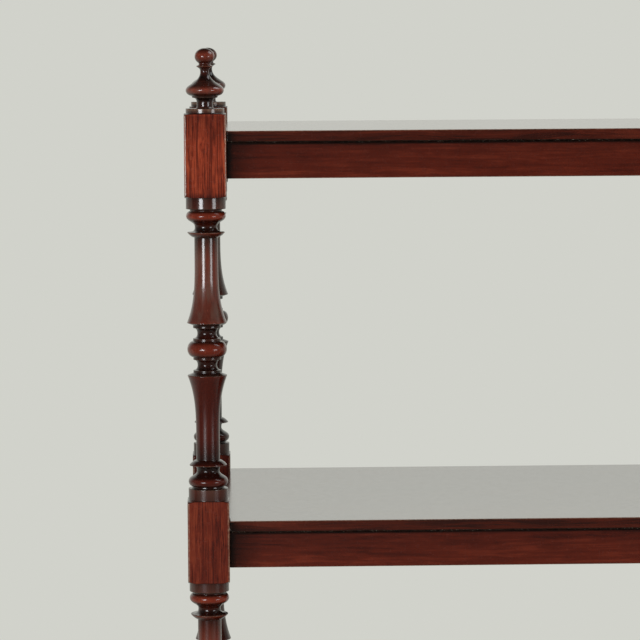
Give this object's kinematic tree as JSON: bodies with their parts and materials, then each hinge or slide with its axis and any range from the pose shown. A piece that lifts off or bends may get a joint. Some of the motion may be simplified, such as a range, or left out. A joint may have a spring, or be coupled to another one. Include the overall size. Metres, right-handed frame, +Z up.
{
  "type": "etagere",
  "caption": "Open mahogany etagere: shelves framed by rails between turned corner posts with finials, standing on swivelling brass castors.",
  "frame": {"origin": "on the floor, under the middle of the shelves", "axes": "+Z up, +X to the right seen from the front, the front towards -Y"},
  "size_m": [1.067, 0.44, 1.1636],
  "materials": {
    "mahogany_posts": "dark French-polished mahogany, turned",
    "mahogany_boards": "French-polished mahogany, glossy",
    "mahogany_rails": "French-polished mahogany, cross-figured",
    "pine": "bare sawn pine",
    "brass": "aged brass, worn at the rims",
    "steel": "dull riveted steel"
  },
  "bodies": {
    "stand": {"front_left_post": "mahogany_posts", "front_left_finial": "mahogany_posts", "front_left_castor_cup": "brass", "front_left_castor_screw": "brass", "front_right_post": "mahogany_posts", "front_right_finial": "mahogany_posts", "front_right_castor_cup": "brass", "front_right_castor_screw": "brass", "back_left_post": "mahogany_posts", "back_left_finial": "mahogany_posts", "back_left_castor_cup": "brass", "back_left_castor_screw": "brass", "back_right_post": "mahogany_posts", "back_right_finial": "mahogany_posts", "back_right_castor_cup": "brass", "back_right_castor_screw": "brass", "bottom_shelf_board": "mahogany_boards", "bottom_front_rail": "mahogany_rails", "bottom_back_rail": "mahogany_rails", "bottom_left_rail": "mahogany_rails", "bottom_right_rail": "mahogany_rails", "bottom_front_left_glue_block": "pine", "bottom_front_right_glue_block": "pine", "bottom_back_left_glue_block": "pine", "bottom_back_right_glue_block": "pine", "middle_shelf_board": "mahogany_boards", "middle_front_rail": "mahogany_rails", "middle_back_rail": "mahogany_rails", "middle_left_rail": "mahogany_rails", "middle_right_rail": "mahogany_rails", "middle_front_left_glue_block": "pine", "middle_front_right_glue_block": "pine", "middle_back_left_glue_block": "pine", "middle_back_right_glue_block": "pine", "top_shelf_board": "mahogany_boards", "top_front_rail": "mahogany_rails", "top_back_rail": "mahogany_rails", "top_left_rail": "mahogany_rails", "top_right_rail": "mahogany_rails", "top_front_left_glue_block": "pine", "top_front_right_glue_block": "pine", "top_back_left_glue_block": "pine", "top_back_right_glue_block": "pine"},
    "front_left_castor": {"front_left_castor_horn": "brass", "front_left_castor_axle": "steel"},
    "front_left_wheel": {"front_left_castor_wheel": "brass"},
    "front_right_castor": {"front_right_castor_horn": "brass", "front_right_castor_axle": "steel"},
    "front_right_wheel": {"front_right_castor_wheel": "brass"},
    "back_left_castor": {"back_left_castor_horn": "brass", "back_left_castor_axle": "steel"},
    "back_left_wheel": {"back_left_castor_wheel": "brass"},
    "back_right_castor": {"back_right_castor_horn": "brass", "back_right_castor_axle": "steel"},
    "back_right_wheel": {"back_right_castor_wheel": "brass"}
  },
  "joints": [
    {"name": "front_left_castor_swivel", "type": "hinge", "parent": "stand", "child": "front_left_castor", "pos_m": [-0.511, -0.1975, 0.039], "axis": [0, 0, 1], "continuous": true},
    {"name": "front_left_wheel_roll", "type": "hinge", "parent": "front_left_castor", "child": "front_left_wheel", "pos_m": [-0.497, -0.1975, 0.016], "axis": [0, 1, 0], "continuous": true},
    {"name": "front_right_castor_swivel", "type": "hinge", "parent": "stand", "child": "front_right_castor", "pos_m": [0.511, -0.1975, 0.039], "axis": [0, 0, 1], "continuous": true},
    {"name": "front_right_wheel_roll", "type": "hinge", "parent": "front_right_castor", "child": "front_right_wheel", "pos_m": [0.497, -0.1975, 0.016], "axis": [0, 1, 0], "continuous": true},
    {"name": "back_left_castor_swivel", "type": "hinge", "parent": "stand", "child": "back_left_castor", "pos_m": [-0.511, 0.1975, 0.039], "axis": [0, 0, 1], "continuous": true},
    {"name": "back_left_wheel_roll", "type": "hinge", "parent": "back_left_castor", "child": "back_left_wheel", "pos_m": [-0.497, 0.1975, 0.016], "axis": [0, 1, 0], "continuous": true},
    {"name": "back_right_castor_swivel", "type": "hinge", "parent": "stand", "child": "back_right_castor", "pos_m": [0.511, 0.1975, 0.039], "axis": [0, 0, 1], "continuous": true},
    {"name": "back_right_wheel_roll", "type": "hinge", "parent": "back_right_castor", "child": "back_right_wheel", "pos_m": [0.497, 0.1975, 0.016], "axis": [0, 1, 0], "continuous": true}
  ]
}
